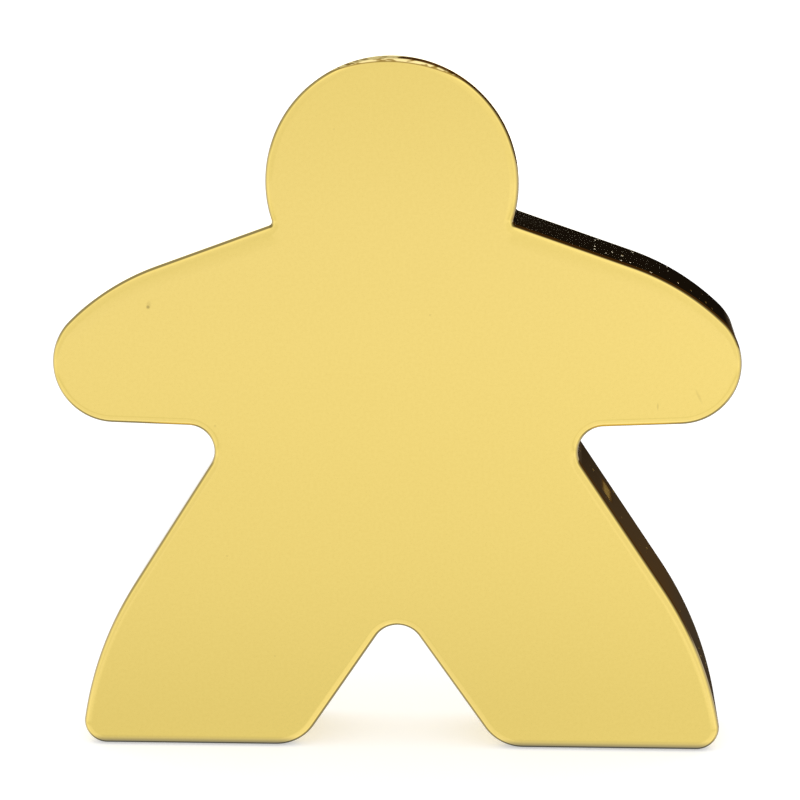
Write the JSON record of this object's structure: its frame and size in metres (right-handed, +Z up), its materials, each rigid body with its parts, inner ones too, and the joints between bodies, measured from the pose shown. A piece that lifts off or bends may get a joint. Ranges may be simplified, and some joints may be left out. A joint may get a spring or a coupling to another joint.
{
  "type": "person-shaped pawn token",
  "caption": "Flat person-shaped pawn token in polished gold-plated metal, which stands on its soles or lies flat, for marking a player's place on a board.",
  "frame": {"origin": "middle of the object's box, at the height of the soles", "axes": "+X across the figure from its hand at the left of the picture to the one at the right, +Y from the polished face to the back, +Z up from the soles to the head"},
  "size_m": [0.025, 0.004, 0.0258],
  "materials": {
    "gold": "polished",
    "nickel": "polished",
    "copper": "satin",
    "zinc_alloy": "matte"
  },
  "bodies": {
    "root": {"gold_layer": "gold", "nickel_layer": "nickel", "copper_strike": "copper", "zinc_casting": "zinc_alloy"}
  },
  "joints": []
}
